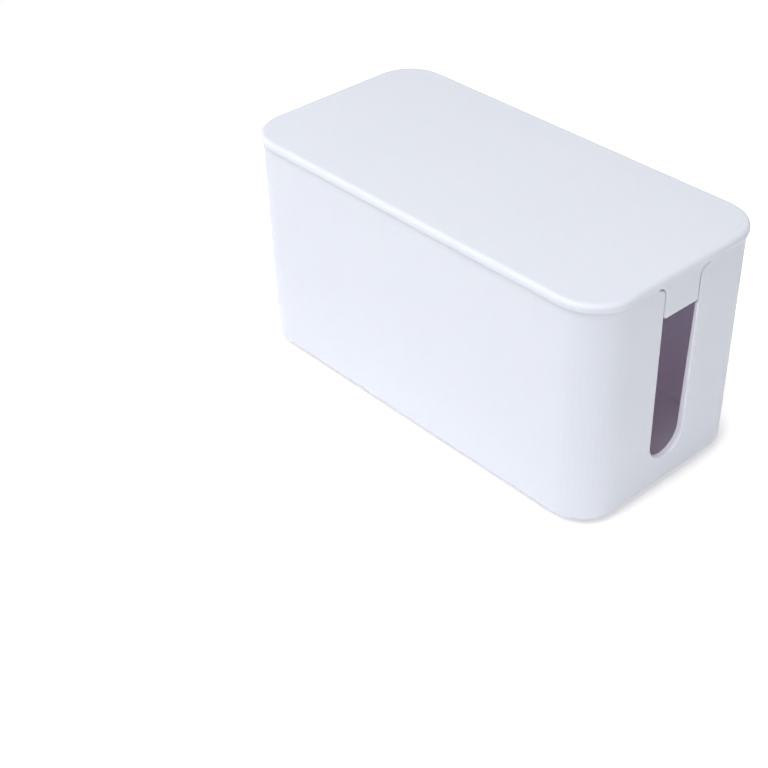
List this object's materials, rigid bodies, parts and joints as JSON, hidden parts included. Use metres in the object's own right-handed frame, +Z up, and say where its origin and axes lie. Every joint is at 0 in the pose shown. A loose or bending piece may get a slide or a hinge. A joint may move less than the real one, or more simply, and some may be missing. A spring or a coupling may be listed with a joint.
{
  "type": "cable management box",
  "caption": "Oblong cable management box with rounded corners: a tapered open tub with a tall U slot in each end wall, and a lift-off lid with tongues that close the slots' tops.",
  "frame": {"origin": "on the floor, under the middle of the box", "axes": "+X along the box's length towards one cable slot, +Y across its width, +Z up"},
  "size_m": [0.235, 0.1146, 0.1217],
  "materials": {
    "shell": "satin white moulded plastic with a very fine texture",
    "foot": "matte grey rubber"
  },
  "bodies": {
    "box": {"tub": "shell", "foot_front_left": "foot", "foot_front_right": "foot", "foot_rear_left": "foot", "foot_rear_right": "foot"},
    "lid": {"lid": "shell"}
  },
  "joints": [
    {"name": "lid_lift", "type": "slide", "parent": "box", "child": "lid", "axis": [0, 0, 1], "range_m": [0, 0.12]}
  ]
}
